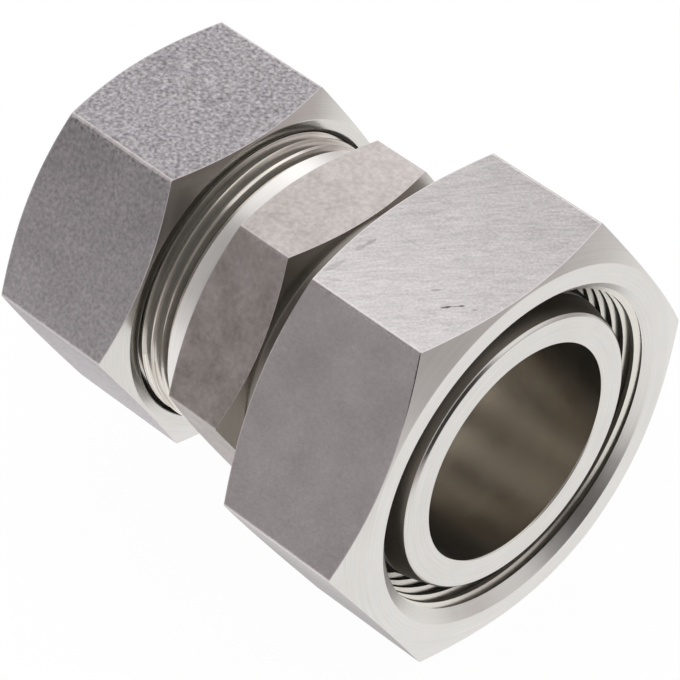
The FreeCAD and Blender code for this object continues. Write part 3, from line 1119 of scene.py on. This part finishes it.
@dataclass
class FittingBody:
    """The body: threaded tube end, hexagon, shank and cone nose in one piece."""

    dress: Dress
    end: float = -10.4
    thread_radius: float = 22.5
    end_chamfer: float = 1.2
    thread_lead: float = 1.6
    thread_turns: float = 7.065
    thread_end: float = 2.3
    undercut: float = 0.9
    undercut_slope: float = 0.5
    undercut_clearance: float = 0.2
    collar_back: float = 3.8
    collar_overlap: float = 0.3
    collar_radius: float = 22.6
    hexagon: Hexagon = BODY_HEXAGON
    shank_radius: float = 22.5
    wire: WireGroove = WireGroove()
    seal_back: float = 41.0
    seal_front: float = 43.9
    seal_floor: float = 20.48
    nose_rim: float = 44.8
    nose_tip_radius: float = 21.5
    nose_face: float = 48.8
    nose_break: float = 0.4
    bore_break: float = 0.15
    bore_radius: float = 17.05
    bore_step: float = 14.0
    step_length: float = 1.8
    stop_bore: float = 16.0
    socket_radius: float = 17.65
    socket_length: float = 4.05
    socket_mouth: float = 19.0
    hidden_radius: float = 20.0

    def outline(self) -> list[Point]:
        """Draws the turned form, bore included.

        Returns:
            The corners, as stations and radii.
        """
        middle = (self.hexagon.back + self.hexagon.front) / 2
        step = self.collar_back - self.collar_overlap
        rim = self.nose_face - self.nose_break
        return softened([
            (self.end, self.socket_mouth),
            (self.end, self.thread_radius - self.end_chamfer),
            (self.end + self.end_chamfer, self.thread_radius),
            (step, self.thread_radius),
            (step, self.collar_radius),
            (middle, self.collar_radius),
            (middle, self.shank_radius),
            *self.wire.half(self.shank_radius),
            (self.seal_back, self.shank_radius),
            (self.seal_back, self.seal_floor),
            (self.seal_front, self.seal_floor),
            (self.seal_front, self.shank_radius),
            (self.nose_rim, self.shank_radius),
            (rim, self.nose_tip_radius),
            (self.nose_face, self.nose_tip_radius - self.nose_break),
            (self.nose_face, self.bore_radius + self.bore_break),
            (self.nose_face - self.bore_break, self.bore_radius),
            (self.bore_step, self.bore_radius),
            (self.bore_step - self.step_length, self.stop_bore),
            (0.0, self.stop_bore),
            (0.0, self.socket_radius),
            (-self.socket_length, self.socket_radius),
        ])

    def collar_outline(self) -> list[Point]:
        """Draws what the hexagon is turned to, with its corner chamfers."""
        bar = self.hexagon
        return softened([
            (bar.back, self.hidden_radius),
            *bar.turned_corners(),
            (bar.front, self.hidden_radius),
        ])

    def relief_outline(self) -> list[Point]:
        """Draws what is cut away between the thread and the collar.

        Returns:
            The corners, as stations and radii.
        """
        floor = self.thread_radius - self.undercut
        above = self.collar_radius + self.undercut_clearance
        lift = (above - self.thread_radius) * self.undercut_slope / self.undercut
        return [
            (self.thread_end - lift, above),
            (self.collar_back, above),
            (self.collar_back, floor),
            (self.thread_end + self.undercut_slope, floor),
        ]

    def thread(self) -> Thread:
        """Gives the male thread.

        Returns:
            The thread, which starts outside the end face and ends in the undercut.
        """
        first = self.end - self.thread_lead
        return Thread(
            self.thread_radius, first, self.thread_turns, Side.OUTSIDE,
            depth=1.18, mouth_width=1.84, root_width=0.36, start_angle=276.6,
        )

    def build(self) -> bpy.types.Object:
        """Machines the body.

        Returns:
            The finished piece, which replaces its node.
        """
        work = Machining("body_machining", self.dress)
        form = work.turned(work.entry)
        collar = work.spun("Hexagon outline", self.collar_outline())
        hexagon = work.joined("INTERSECT", work.bar(self.hexagon), collar)
        blank = work.joined("UNION", form, hexagon)
        relief = work.spun("Relief outline", self.relief_outline(), Surface.GROOVES)
        relieved = work.joined("DIFFERENCE", blank, relief)
        cut = work.joined("DIFFERENCE", relieved, work.cutter(self.thread()))
        work.end(cut, [
            INSIDES,
            Touch(Surface.FACED, Surface.GROOVES, (-0.3, 0.3), (self.end, self.thread_end)),
            Touch(Surface.FACED, Surface.ROUND, (-0.3, 0.3), (self.end, self.hexagon.front)),
            BACKS,
            # Painted shade: the thread's back flanks and the relief's back wall are painted near
            # black.
            Touch(Surface.GROOVES, Surface.OILED, (-2.0, -0.3)),
        ])
        piece = work.run("threaded_body", self.outline())
        hand_over(piece, "body", "fitting_body")
        return piece


@dataclass
class TubeNut:
    """The nut that presses the cutting ring on the tube."""

    dress: Dress
    hexagon: Hexagon = TUBE_NUT_HEXAGON
    thread_radius: float = 22.6
    mouth_chamfer: float = 0.6
    cone_front: float = -13.412
    cone_back: float = -18.262
    hole_radius: float = 17.75
    edge_break: float = 0.4

    def outline(self) -> list[Point]:
        """Draws the nut's turned form.

        Returns:
            The corners, as stations and radii.
        """
        bar = self.hexagon
        return softened([
            (bar.back, self.hole_radius + self.edge_break),
            *bar.turned_corners(),
            (bar.front, self.thread_radius + self.mouth_chamfer),
            (bar.front - self.mouth_chamfer, self.thread_radius),
            (self.cone_front, self.thread_radius),
            (self.cone_back, self.hole_radius),
            (bar.back + self.edge_break, self.hole_radius),
        ])

    def build(self) -> bpy.types.Object:
        """Machines the nut.

        Returns:
            The finished piece, which replaces its node.
        """
        work = Machining("tube_nut_machining", self.dress)
        nut = work.joined("INTERSECT", work.bar(self.hexagon), work.turned(work.entry))
        work.end(nut, [INSIDES])
        piece = work.run("clamping_nut", self.outline())
        hand_over(piece, "tube_nut", "tube_nut")
        return piece


@dataclass
class SwivelNut:
    """The large nut that turns on the shank and pulls the nose into its cone."""

    dress: Dress
    hexagon: Hexagon = SWIVEL_NUT_HEXAGON
    bore_radius: float = 22.75
    plain_length: float = 9.3
    crest_radius: float = 24.92
    mouth_chamfer: float = 1.83
    mouth_depth: float = 1.6
    thread_first: float = 38.0
    thread_lead: float = 1.0
    wire: WireGroove = WireGroove()
    edge_break: float = 0.4
    hole: Hole = Hole(radius=1.5, station=29.0, angle=330.0, length=35.0)

    def outline(self) -> list[Point]:
        """Draws the nut's turned form.

        Returns:
            The corners, as stations and radii.
        """
        bar = self.hexagon
        plain_end = bar.back + self.plain_length
        return softened([
            (bar.back, self.bore_radius + self.edge_break),
            *bar.turned_corners(),
            (bar.front, self.crest_radius + self.mouth_chamfer),
            (bar.front - self.mouth_depth, self.crest_radius),
            (plain_end + self.crest_radius - self.bore_radius, self.crest_radius),
            (plain_end, self.bore_radius),
            *self.wire.half(self.bore_radius),
            (bar.back + self.edge_break, self.bore_radius),
        ])

    def thread(self) -> Thread:
        """Gives the female thread.

        Returns:
            The thread, which starts in the bore and ends outside the mouth.
        """
        length = self.hexagon.front + self.thread_lead - self.thread_first
        return Thread(
            self.crest_radius, self.thread_first, length / Thread.pitch, Side.INSIDE,
            depth=0.85, mouth_width=1.45, root_width=0.25, runout=0.01, start_angle=317.0,
        )

    def build(self) -> bpy.types.Object:
        """Machines the nut.

        Returns:
            The finished piece, which replaces its node.
        """
        work = Machining("swivel_nut_machining", self.dress)
        nut = work.joined("INTERSECT", work.bar(self.hexagon), work.turned(work.entry))
        threaded = work.joined("DIFFERENCE", nut, work.cutter(self.thread()))
        drilled = work.joined("DIFFERENCE", threaded, work.drill(self.hole))
        # Painted shade: besides the backs, the thread's roots and back flanks take the dark shaded
        # finish.
        work.end(drilled, [INSIDES, BACKS, Touch(Surface.GROOVES, Surface.PARTED, (-2.0, 0.3))])
        piece = work.run("coupling_nut", self.outline())
        hand_over(piece, "swivel_nut", "swivel_nut")
        return piece


@dataclass
class Photographer:
    """The camera, where the picture of the fitting was taken from."""

    azimuth: float = 45.445
    elevation: float = 44.286
    roll: float = -0.792
    distance: float = 597.584
    aim_right: float = 10.571
    aim_up: float = -8.502
    focal_pixels: float = 4224.0
    sight_metres: Span = (0.01, 10.0)

    def place(self) -> None:
        """Sets up the camera and makes it the scene's own."""
        turn = math.radians(self.azimuth)
        tilt = math.radians(self.elevation)
        roll = math.radians(self.roll)
        level = Vector((math.cos(turn), math.sin(turn), 0.0))
        ahead = Vector((math.sin(turn), -math.cos(turn), 0.0))
        back = math.cos(tilt) * ahead + math.sin(tilt) * Vector((0.0, 0.0, 1.0))
        upright = back.cross(level)
        right = math.cos(roll) * level + math.sin(roll) * upright
        up = math.cos(roll) * upright - math.sin(roll) * level
        stand = right * self.aim_right + up * self.aim_up + back * self.distance
        data = bpy.data.cameras.new("camera")
        data.sensor_width = SENSOR_WIDTH
        data.lens = self.focal_pixels * SENSOR_WIDTH / IMAGE_PIXELS
        data.clip_start, data.clip_end = self.sight_metres
        camera = placed("camera", data)
        facing = Matrix((right, up, back)).transposed().to_4x4()
        camera.matrix_world = Matrix.Translation(stand * MM) @ facing
        bpy.context.scene.camera = camera


@dataclass(frozen=True)
class Card:
    """A soft dark card in the studio, which only mirroring metal sees."""

    direction: tuple[float, float, float]
    level: float
    edge: Span
    colour: Colour = (1.0, 0.88, 0.84)


@dataclass
class Studio:
    """A pale studio: white floor, soft light from above and two soft dark cards."""

    floor_height: float = -30.02
    floor_size: float = 3000.0
    floor_colour: Colour = (0.97, 0.97, 0.97)
    floor_glow: float = 0.965
    bright_floor: Span = (110.0, 330.0)
    far_level: float = 0.5
    far_colour: Colour = (1.0, 0.92, 0.92)
    sky_rise: Span = (0.05, 0.55)
    cards: tuple[Card, ...] = (
        Card((-0.51, -0.60, 0.61), 0.12, (0.79, 0.88)),
        Card((0.83, -0.30, 0.36), 0.04, (0.77, 0.91)),
    )
    lamp_power: float = 0.4
    lamp_size_metres: float = 0.5
    lamp_place_metres: tuple[float, float, float] = (-0.51, 0.65, 0.55)

    def far(self) -> Colour:
        """Gives the colour of all that is far from the fitting, as its metal mirrors it."""
        return tuple(self.far_level * part for part in self.far_colour)

    def light(self) -> None:
        """Sets the world, with the dark cards, and one large lamp."""
        world = bpy.data.worlds.new("studio")
        bpy.context.scene.world = world
        world.use_nodes = True
        graph = Graph(world.node_tree)
        direction = graph.node("ShaderNodeTexCoord", out="Generated")
        height = graph.parts(direction)[2]
        sky = graph.blend(graph.eased(height, self.sky_rise), rgba(self.far()), rgba(WHITE))
        for card in self.cards:
            towards = graph.node(
                "ShaderNodeVectorMath",
                {0: direction, 1: Vector(card.direction).normalized()},
                {"operation": "DOT_PRODUCT"},
                out="Value",
            )
            dark = tuple(card.level * part for part in card.colour)
            sky = graph.blend(graph.eased(towards, card.edge), sky, rgba(dark))
        mirrored = graph.node("ShaderNodeLightPath", out="Is Glossy Ray")
        colour = graph.blend(mirrored, rgba(WHITE), sky)
        surface = graph.node("ShaderNodeBackground", {"Color": colour})
        graph.node("ShaderNodeOutputWorld", {"Surface": surface})
        self._lamp()

    def _lamp(self) -> None:
        """Hangs one large soft lamp behind and above the fitting."""
        data = bpy.data.lights.new("soft_box", "AREA")
        data.energy = self.lamp_power
        data.size = self.lamp_size_metres
        lamp = placed("soft_box", data)
        lamp.location = Vector(self.lamp_place_metres)
        lamp.rotation_euler = lamp.location.to_track_quat("Z", "Y").to_euler()

    def floor(self) -> None:
        """Lays the white floor, which keeps the fitting's shadow."""
        half = self.floor_size * MM / 2
        height = self.floor_height * MM
        corners = [(-half, -half), (half, -half), (half, half), (-half, half)]
        mesh = bpy.data.meshes.new("floor")
        mesh.from_pydata([(x, y, height) for x, y in corners], [], [(0, 1, 2, 3)])
        material, graph = new_material("white_floor")
        white = graph.node("ShaderNodeBsdfDiffuse", {"Color": rgba(self.floor_colour)})
        camera = graph.node("ShaderNodeLightPath", out="Is Camera Ray")
        seen = graph.clamp(
            camera + camera.also("Is Glossy Ray") + camera.also("Is Transmission Ray")
        )
        place = graph.parts(graph.node("ShaderNodeTexCoord", out="Object"))
        away = graph.length(place[0], place[1]) / MM
        faded = graph.eased(away, self.bright_floor) * (1.0 - camera)
        colour = graph.blend(faded, rgba(WHITE), rgba(self.far()))
        glow = graph.node("ShaderNodeEmission", {"Color": colour})
        mixed = graph.node(
            "ShaderNodeMixShader", {0: seen * self.floor_glow, 1: white, 2: glow}
        )
        graph.node("ShaderNodeOutputMaterial", {"Surface": mixed})
        mesh.materials.append(material)
        placed("floor", mesh)


def dress_small_parts(finishes: Finishes) -> None:
    """Gives the hidden small parts, which keep their drawn shape, their materials.

    Args:
        finishes: Every finish on the fitting.
    """
    for name, material in (
        ("cutting_ring", finishes.hardened),
        ("retaining_wire", finishes.spring),
        ("o_ring", finishes.rubber),
    ):
        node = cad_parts[name]
        for slot in node.material_slots:
            slot.material = material
        LOG.info("%s keeps its drawn shape", name)


def main() -> None:
    """Builds every piece in turn."""
    logging.basicConfig(level=logging.INFO, format="%(name)s: %(message)s")
    bpy.context.scene.view_settings.view_transform = "Standard"
    Photographer().place()
    studio = Studio()
    studio.light()
    studio.floor()
    finishes = make_finishes()
    FittingBody(finishes.body).build()
    TubeNut(finishes.tube_nut).build()
    SwivelNut(finishes.swivel_nut).build()
    dress_small_parts(finishes)


if __name__ == "__main__":
    main()
